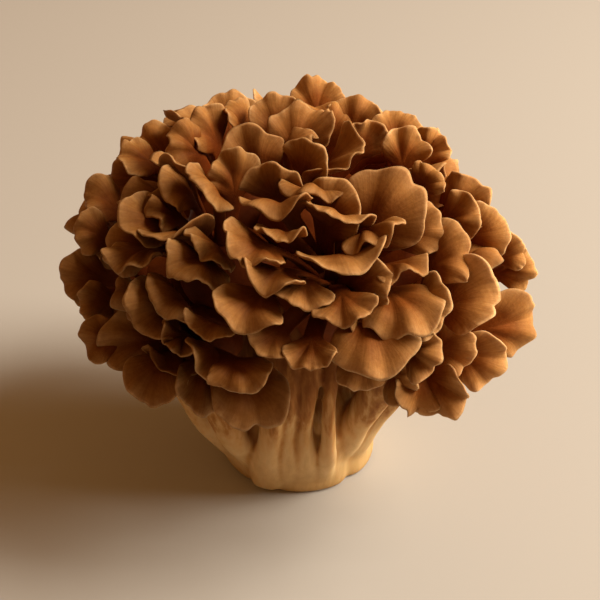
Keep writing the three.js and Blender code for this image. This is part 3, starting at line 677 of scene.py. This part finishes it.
def foot():
    """The foot: a radius for each height and turn, flaring upward, with a few narrow notches round it,
    where 1 - |cos| raised to the third power peaks."""
    rows = np.array([
        [0, 0.01], [0, 12], [0, FOOT_RADIUS - FOOT_BEVEL * 0.8],
        [FOOT_BEVEL * 0.4, FOOT_RADIUS - FOOT_BEVEL * 0.2], [FOOT_BEVEL * 1.5, FOOT_RADIUS + 0.4],
        [FOOT_TOP * 0.27, FOOT_RADIUS + FOOT_FLARE * 0.45], [FOOT_TOP * 0.48, FOOT_RADIUS + FOOT_FLARE],
        [FOOT_TOP * 0.7, FOOT_RADIUS + FOOT_FLARE * 0.75], [FOOT_TOP * 0.92, FOOT_RADIUS],
        [FOOT_TOP + 3, FOOT_RADIUS * 0.75], [FOOT_TOP + 5, 0.01],
    ])
    turn_at = np.arange(FOOT_SIDES) / FOOT_SIDES * 2 * np.pi
    wave_at = np.cos(FOOT_LOBES / 2 * turn_at + 0.5 * np.sin(turn_at) + 0.9)
    notches = 0.3 - (1 - np.abs(wave_at)) ** 3
    height, radius = rows[:, :1], rows[:, 1:]
    lean = 1 - FOOT_LEAN * np.cos(turn_at) * np.clip(height / FOOT_LEAN_RISE, 0, 1)
    r = (radius + FOOT_RIPPLE * notches * (radius > 1)) * lean
    shell = np.stack([r * np.cos(turn_at), r * np.sin(turn_at), height + 0 * r], axis=-1)
    points = np.vstack([[0, 0, 0], shell.reshape(-1, 3), [0, 0, FOOT_TOP + 5]])
    return points, *ring_faces(len(rows), FOOT_SIDES), {}


def stalk(branch, centre, stalks, i):
    """One stalk of a branch, from the foot out to its hub."""
    middle, outer = np.arctan2(centre[1], centre[0]), np.hypot(centre[0], centre[1])
    share = min(1, outer / STALK_SHARE)
    offset = np.radians(STALK_SPREAD * (2 * i - stalks + 1) + between(*STALK_TURN, branch, 31 + i))

    def at(radius, angle, height):
        """A point at a distance from the axis, leaning with the foot below the hub."""
        radius = radius * (1 - FOOT_LEAN * np.cos(middle + angle) * (height < centre[2] - LEAN_END))
        return [radius * np.cos(middle + angle), radius * np.sin(middle + angle), height]

    low, middle_low, middle_high = STALK_HEIGHTS
    points = [
        at(STALK_RING * share * share, offset, low),
        at(outer * STALK_OUT[0], offset, middle_low),
        at(outer * STALK_OUT[1], offset, middle_high + between(*STALK_BEND, branch, 41 + i)),
        at(outer * STALK_OUT[2], offset * STALK_BACK, centre[2] - STALK_INTO_HUB),
    ]
    foot_radius = STALK_FOOT + between(*STALK_SWELL, branch, 51 + i)
    return tube(points, [foot_radius, foot_radius, STALK_WAIST, STALK_TOP], 10 * branch + i)


print("the foot is %.0f mm wide at its cut" % (2 * np.abs(foot()[0][foot()[0][:, 2] < 1, 0]).max()))

# %% [markdown]
# ## The gap at the front
# The front of the crown has a gap that slender stalks fill, side by side. They bow forward out of the
# foot and lean back into the dark, so each is a tube along four points.

# %% The stalks in the front gap
FRONT_STALKS = [(-11, -8, 4.0), (-4.5, -3, 3.4), (1.5, 3.5, 3.2), (8, 12, 2.6)]  # x below, x above, radius
FRONT_PATH = [(22.5, 5), (33, 24), (38.5, 50), (27, 80)]  # distance in front of the axis, height
FRONT_TAPER = (1.5, 1.1, 0.95, 0.9)  # of the radius, from the foot up


def front_stalk(low, high, radius):
    """One of them: it bows forward as it rises and then leans back into the knots."""
    first_height, last_height = FRONT_PATH[0][1], FRONT_PATH[-1][1]
    points = []
    for out, height in FRONT_PATH:
        share = (height - first_height) / (last_height - first_height)
        points.append([low + (high - low) * share, -out, height])
    return tube(points, [radius * taper for taper in FRONT_TAPER], radius)


print("slender stalks at the front:", len(FRONT_STALKS))

# %% [markdown]
# ## One skin, and how deep its grooves lie
# Remeshing alone leaves hard creases, so the skin is smoothed. A second copy is smoothed far more: how
# far a point moves outward between the two says how deep in a groove it lies, which the material turns
# into painted shade later. Near the cut the stalks have grown together, so there the skin goes most of
# the way to that second copy.

# %% Make the base
VOXEL = 0.84  # mm
SKIN_ROUNDS, MELT_ROUNDS = 6, 56  # rounds of smoothing for the skin and for its copy
bodies = [foot()] + [front_stalk(*row) for row in FRONT_STALKS]
for branch, (centre, stalks) in enumerate(zip(hubs, hub_stalks)):
    bodies += [stalk(branch, centre, stalks, i) for i in range(stalks)]
base = new_piece("foot_and_stalks", *joined(bodies))
remesh = base.modifiers.new("one_skin", "REMESH")
remesh.mode, remesh.voxel_size, remesh.use_smooth_shade = "VOXEL", VOXEL * MM, True
soften = base.modifiers.new("soft_grooves", "SMOOTH")


def smoothed(rounds):
    """The base as its modifiers leave it, after so many rounds of smoothing."""
    soften.factor, soften.iterations = 0.5, rounds
    bpy.context.view_layer.update()
    return bpy.data.meshes.new_from_object(base.evaluated_get(bpy.context.evaluated_depsgraph_get()))


skin = smoothed(SKIN_ROUNDS)
smooth = smoothed(MELT_ROUNDS)
base.modifiers.clear()
base.data = skin
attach(base, "root")
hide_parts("base")
print("base faces:", len(skin.polygons))

# %% [markdown]
# The values below are heights and distances from the axis in millimetres, for painted shade. Grooves count
# less low down, where the foot is washed smooth, and everything between the stalks' inner sides counts as
# deep.

# %% Groove depth and the melted foot
GROOVE_LOW, GROOVE_RISE = 0.35, (8, 30)  # share that a groove counts low down, and where it grows
INNER_RADIUS, INNER_RISE, INNER_DEPTH = (20, 33), (20, 36), 0.9
MELT_SHARE, MELT_FROM, MELT_TO = 0.95, (1.5, 7), (22, 42)


def vectors(values, key, count):
    """Three numbers of each vertex as rows."""
    flat = np.empty(count * 3, np.float32)
    values.foreach_get(key, flat)
    return flat.reshape(-1, 3)


count = len(skin.vertices)
outward_skin = vectors(skin.vertices, "normal", count)
sharp = vectors(skin.vertices, "co", count)
moved = vectors(smooth.vertices, "co", count) - sharp
height = sharp[:, 2] / MM
radius = np.hypot(sharp[:, 0], sharp[:, 1]) / MM
groove_shade_depth = np.sum(moved * outward_skin, axis=1) / MM
groove_shade_depth = groove_shade_depth * (GROOVE_LOW + (1 - GROOVE_LOW) * eased(height, *GROOVE_RISE))
between_stalks_shade = (1 - eased(radius, *INNER_RADIUS)) * eased(height, *INNER_RISE)
groove_shade_depth = np.maximum(groove_shade_depth, between_stalks_shade * INNER_DEPTH)
melt = MELT_SHARE * eased(height, *MELT_FROM) * (1 - eased(height, *MELT_TO))
skin.vertices.foreach_set("co", (sharp + moved * melt[:, None]).astype(np.float32).ravel())
skin.update()
add_values(skin, "groove_shade_depth", groove_shade_depth)
bpy.data.meshes.remove(smooth)
print("grooves lie up to %.1f mm deep" % groove_shade_depth.max())

# %% [markdown]
# ## Materials
# Fronds are matte and velvety: caramel brown, darker toward the neck, with faint streaks that fan out
# along the frond and a thin pale rim all round. The underside is paler. A painted texture could say all
# this, but colour ramps over the fronds' own attributes stay sharp at any size. The look is a chain of
# small nodes, so each kind of node gets a function that adds one and hands on its output.

# %% Nodes and their values
def set_inputs(node, values):
    """Plain values for a node's inputs, by name."""
    for key, value in values.items():
        node.inputs[key].default_value = value


def material(name):
    """A new node material and its shader."""
    made = bpy.data.materials.new(name)
    made.use_nodes = True
    return made, made.node_tree.nodes, made.node_tree.links, made.node_tree.nodes["Principled BSDF"]


def attribute(key):
    """The value of one of a piece's own attributes."""
    node = nodes.new("ShaderNodeAttribute")
    node.attribute_name = key
    return node.outputs["Fac"]


def feed(socket, value):
    """A plain number for a socket, or a link."""
    if isinstance(value, (int, float)):
        socket.default_value = value
    else:
        links.new(value, socket)


def math(operation, first, second=0.0, third=0.0, clamp=False):
    """One step of arithmetic."""
    node = nodes.new("ShaderNodeMath")
    node.operation, node.use_clamp = operation, clamp
    for socket, value in zip(node.inputs, (first, second, third)):
        feed(socket, value)
    return node.outputs[0]


frond_material, nodes, links, shader = material("frond_flesh")
across_at, along_at, face_at, frond_at = map(attribute, ("across", "along", "face", "frond"))
print("nodes for the values of a point:", len(nodes))

# %% [markdown]
# Noise gives a grown surface its unevenness. A ramp turns a number into a colour, and tints are multiplied
# over one another like thin washes. A bump only bends the light, so it costs no faces.

# %% Noise, colours and bumps
PLAIN = (1.0, 1.0, 1.0)  # a tint that changes nothing


def object_place():
    """A point's place in the piece's own metres."""
    return nodes.new("ShaderNodeTexCoord").outputs["Object"]


def noise(vector, scale, detail=4.0, roughness=0.55):
    """Cloudy noise."""
    node = nodes.new("ShaderNodeTexNoise")
    set_inputs(node, {"Scale": scale, "Detail": detail, "Roughness": roughness})
    links.new(vector, node.inputs["Vector"])
    return node.outputs["Fac"]


def ramp(value, *stops):
    """Colours along a value."""
    node = nodes.new("ShaderNodeValToRGB")
    while len(node.color_ramp.elements) < len(stops):
        node.color_ramp.elements.new(0.5)
    for element, (place, colour) in zip(node.color_ramp.elements, stops):
        element.position, element.color = place, (*colour, 1)
    links.new(value, node.inputs["Fac"])
    return node.outputs["Color"]


def mix(factor, first, second, blend="MIX"):
    """Two colours mixed by a factor."""
    node = nodes.new("ShaderNodeMix")
    node.data_type, node.blend_type = "RGBA", blend
    for key, value in (("Factor_Float", factor), ("A_Color", first), ("B_Color", second)):
        feed(next(s for s in node.inputs if s.identifier == key), value)
    return next(s for s in node.outputs if s.identifier == "Result_Color")


def tinted(colour, share, value, *stops):
    """A colour multiplied, by a share, with the tints that stand along a value."""
    return mix(share, colour, ramp(value, *stops), "MULTIPLY")


def bumped(relief_height, strength, distance):
    """The light on the surface follows a relief, whose full height is the distance in metres."""
    bump = nodes.new("ShaderNodeBump")
    set_inputs(bump, {"Strength": strength, "Distance": distance})
    links.new(relief_height, bump.inputs["Height"])
    links.new(bump.outputs["Normal"], shader.inputs["Normal"])


place = object_place()
print("nodes with the place of a point:", len(nodes))

# %% [markdown]
# The streaks are noise that is squeezed across a frond and long along it, and each frond reads its own
# part of it. Over the fronds lies painted light and shade: they are painted lighter toward the lit right
# side and darker low at the front left, where shade falls, by the distance from one shaded place.

# %% Patterns on a frond
STREAKS = (13.0, 2.2, 37.0)  # noise cells across a fan, along it and between fronds
CLOUD_SCALE, GRAIN_SCALE = 150.0, 900.0  # noise cells in a metre
# painted light and shade: darkest at this place low at the front left, lighter farther out
PAINTED_SHADE_CENTRE, PAINTED_SHADE_REACH = (-0.036, -0.041, 0.082), 0.16  # metres
streak_place = nodes.new("ShaderNodeCombineXYZ")
for axis, (value, cells) in enumerate(zip((across_at, along_at, frond_at), STREAKS)):
    links.new(math("MULTIPLY", value, cells), streak_place.inputs[axis])
streaks = noise(streak_place.outputs[0], 1.0, 5.0, 0.65)
clouds = noise(place, CLOUD_SCALE, 7.0, 0.72)
grain = noise(place, GRAIN_SCALE, 3.0)
distance = nodes.new("ShaderNodeVectorMath")
distance.operation = "DISTANCE"
links.new(place, distance.inputs[0])
distance.inputs[1].default_value = PAINTED_SHADE_CENTRE
painted_light_share = math("DIVIDE", distance.outputs["Value"], PAINTED_SHADE_REACH)
print("nodes for the patterns:", len(nodes))

# %% [markdown]
# The upper face runs from a warm neck over a darker middle to a pale rim. The lower face is paler over
# most of its length, so two ramps are mixed by the side that a point is on. The rest are tints over that:
# streaks, painted shade deep in the crown, clouds, a tone for each frond, and painted light and shade.

# %% Frond colours
UPPER = [  # from the neck to the rim
    (0.0, (0.34, 0.092, 0.015)), (0.45, (0.24, 0.064, 0.009)), (0.70, (0.30, 0.102, 0.019)),
    (0.90, (0.48, 0.246, 0.078)), (0.975, (0.57, 0.330, 0.136)), (1.0, (0.74, 0.50, 0.26)),
]
LOWER = [(0.0, (0.24, 0.085, 0.022)), (0.6, (0.40, 0.175, 0.052)), (1.0, (0.54, 0.27, 0.095))]
PAINTED_LIGHT_AND_SHADE_TINTS = [  # painted shade at the shaded place, painted light farther out
    (0.1, (0.44, 0.40, 0.34)), (0.42, (0.70, 0.66, 0.62)), (0.52, (0.83, 0.80, 0.78)),
    (0.60, (0.99, 0.97, 0.96)), (0.68, (1.08, 1.08, 1.07)), (0.80, (1.24, 1.26, 1.26)),
]
under = math("MULTIPLY_ADD", face_at, -0.5, 0.5, clamp=True)
colour = mix(under, ramp(along_at, *UPPER), ramp(along_at, *LOWER))
colour = tinted(colour, 0.65, streaks, (0.36, (0.78, 0.73, 0.68)), (0.64, (1.08, 1.08, 1.08)))
# painted shade: the deeper inside the crown, the darker
colour = tinted(colour, 1.0, attribute("inside"), (0.0, PLAIN), (1.0, (0.85, 0.60, 0.42)))
colour = tinted(colour, 0.85, clouds, (0.36, (0.70, 0.60, 0.50)), (0.64, (1.08, 1.08, 1.08)))
colour = tinted(colour, 1.0, frond_at, (0.0, (0.80, 0.74, 0.68)), (1.0, PLAIN))
# painted light and shade: dark at the shaded front left, light on the lit right side
colour = tinted(colour, 1.0, painted_light_share, *PAINTED_LIGHT_AND_SHADE_TINTS)
links.new(colour, shader.inputs["Base Color"])
print("nodes with the colours:", len(nodes))

# %% [markdown]
# The flesh is soft, nearly without gloss, and lets a little light through, which is what subsurface
# scattering gives. The streaks and the grain stand up by less than a millimetre, so they are a bump and
# not a shape.

# %% Frond surface
STREAK_RELIEF, GRAIN_RELIEF = 0.35, 0.35  # how much each pattern stands up
set_inputs(shader, {
    "Roughness": 0.62, "Specular IOR Level": 0.06, "Subsurface Weight": 0.12,
    "Subsurface Radius": (1.0, 0.45, 0.2), "Subsurface Scale": 0.0012,
})
relief_height = math("ADD", math("MULTIPLY", streaks, STREAK_RELIEF), math("MULTIPLY", grain, GRAIN_RELIEF))
bumped(relief_height, 0.5, 0.0007)
for piece in sprays:
    piece.data.materials.append(frond_material)
print("material:", frond_material.name, "on", len(sprays), "sprays")

# %% [markdown]
# The foot is cream and matte and faintly fibrous up its length. It browns along the cut, and it darkens
# toward the fronds in uneven streaks, partly the brown of the flesh that the stalks run into and partly
# painted shade under the crown. Deep in the grooves it gets painted shade. So its colour follows the height,
# stretched noise and the groove depth measured above. Light sinks further into this pale flesh than into the
# fronds.

# %% Foot material
FIBRE_SCALE, FIBRE_STRETCH, FOOT_CLOUD_SCALE = 420.0, 0.16, 70.0
BROWN_AND_SHADE_HEIGHT, FIBRE_SHARE, PLAIN_SHARE = 0.075, 1.5, 0.27  # metres, and shares that raise the browning and the painted shade
CREAM_TO_BROWN_AND_SHADE = [  # from the cut up; the dark top is partly the brown of the flesh the stalks run into, partly painted shade under the crown
    (0.0, (0.42, 0.24, 0.085)), (0.05, (0.52, 0.345, 0.150)), (0.30, (0.60, 0.42, 0.21)),
    (0.46, (0.52, 0.32, 0.13)), (0.60, (0.34, 0.165, 0.048)), (0.74, (0.24, 0.098, 0.024)),
    (0.92, (0.17, 0.062, 0.014)),
]
GROOVE_PAINTED_SHADE = [(0.0, PLAIN), (0.25, (0.76, 0.62, 0.45)), (0.8, (0.38, 0.23, 0.12))]  # painted shade by groove depth in mm
foot_material, nodes, links, shader = material("base_flesh")
place = object_place()
split = nodes.new("ShaderNodeSeparateXYZ")
links.new(place, split.inputs[0])
stretch = nodes.new("ShaderNodeMapping")
set_inputs(stretch, {"Scale": (1.0, 1.0, FIBRE_STRETCH)})
links.new(place, stretch.inputs["Vector"])
fibres = noise(stretch.outputs["Vector"], FIBRE_SCALE)
clouds = noise(place, FOOT_CLOUD_SCALE)
# Toward the top the foot darkens: partly the brown of the flesh the stalks run into, partly painted shade
# under the crown.
rise = math("DIVIDE", split.outputs["Z"], BROWN_AND_SHADE_HEIGHT)
rise = math("MULTIPLY", rise, math("MULTIPLY_ADD", fibres, FIBRE_SHARE, PLAIN_SHARE))
# painted shade deep in the grooves and between the stalks
colour = tinted(ramp(rise, *CREAM_TO_BROWN_AND_SHADE), 1.0, attribute("groove_shade_depth"), *GROOVE_PAINTED_SHADE)
colour = tinted(colour, 0.6, clouds, (0.3, (0.82, 0.76, 0.68)), (0.7, (1.1, 1.08, 1.05)))
colour = tinted(colour, 0.5, fibres, (0.3, (0.86, 0.82, 0.76)), (0.7, (1.08, 1.06, 1.04)))
links.new(colour, shader.inputs["Base Color"])
set_inputs(shader, {
    "Roughness": 0.6, "Specular IOR Level": 0.1, "Subsurface Weight": 0.45,
    "Subsurface Radius": (1.0, 0.6, 0.35), "Subsurface Scale": 0.005,
})
bumped(fibres, 0.3, 0.0005)
base.data.materials.clear()
base.data.materials.append(foot_material)
print("material:", foot_material.name)

# %% [markdown]
# ## Floor, light and camera
# A plain pale floor. Two soft square lights stand on the right, one high and one low, like a tall
# window. A dim, warm room light fills the left side, so it falls into brown shadow and the gaps between
# the fronds go dark. One big light could do it, but two let the height of the shadow's edge be set.

# %% Floor
FLOOR_HALF = 3.0  # metres
corners = [(x * FLOOR_HALF, y * FLOOR_HALF, 0) for x, y in ((-1, -1), (1, -1), (1, 1), (-1, 1))]
floor_mesh = bpy.data.meshes.new("floor")
floor_mesh.from_pydata(corners, [], [(0, 1, 2, 3)])
floor = bpy.data.objects.new("floor", floor_mesh)
bpy.context.scene.collection.objects.link(floor)
floor_material, nodes, links, shader = material("pale_floor")
set_inputs(shader, {"Base Color": (0.44, 0.435, 0.425, 1), "Roughness": 0.9})
floor_mesh.materials.append(floor_material)
print("floor: %.0f m wide" % (2 * FLOOR_HALF))

# %% Lights
LIGHT_DISTANCE, LIGHT_SIZE, LIGHT_COLOUR = 1.6, 0.72, (1.0, 0.88, 0.71)  # metres, and a warm white
KEYS = [("key_high", (0.64, 0.0, 0.77), 31.5), ("key_low", (0.94, 0.0, 0.34), 26.5)]  # way, watts
ROOM_COLOUR, ROOM_STRENGTH = (1.0, 0.47, 0.15, 1), 0.35
aim = Vector(AIM * MM)


def area_light(name, direction, power):
    """A square light that faces the middle of the cluster."""
    data = bpy.data.lights.new(name, "AREA")
    data.size, data.energy, data.color = LIGHT_SIZE, power, LIGHT_COLOUR
    light = bpy.data.objects.new(name, data)
    light.location = aim + Vector(direction).normalized() * LIGHT_DISTANCE
    light.rotation_euler = (aim - light.location).to_track_quat("-Z", "Y").to_euler()
    bpy.context.scene.collection.objects.link(light)


for key in KEYS:
    area_light(*key)
world = bpy.data.worlds.new("soft_room")
world.use_nodes = True
set_inputs(world.node_tree.nodes["Background"], {"Color": ROOM_COLOUR, "Strength": ROOM_STRENGTH})
bpy.context.scene.world = world
bpy.context.scene.view_settings.view_transform = "Standard"
print("lights:", len(KEYS), "and the room")

# %% [markdown]
# The camera looks down at 33 degrees through a long lens from about half a metre, so near and far
# fronds keep nearly the same scale. The eye is the one from which the front fronds were set out.

# %% Camera
LENS, SENSOR = 85, 36  # mm
camera_data = bpy.data.cameras.new("camera")
camera_data.lens, camera_data.sensor_width = LENS, SENSOR
camera = bpy.data.objects.new("camera", camera_data)
camera.location = Vector(EYE * MM)
camera.rotation_euler = (aim - camera.location).to_track_quat("-Z", "Y").to_euler()
bpy.context.scene.collection.objects.link(camera)
bpy.context.scene.camera = camera
print("camera: %.0f mm from the middle" % VIEW_DISTANCE)
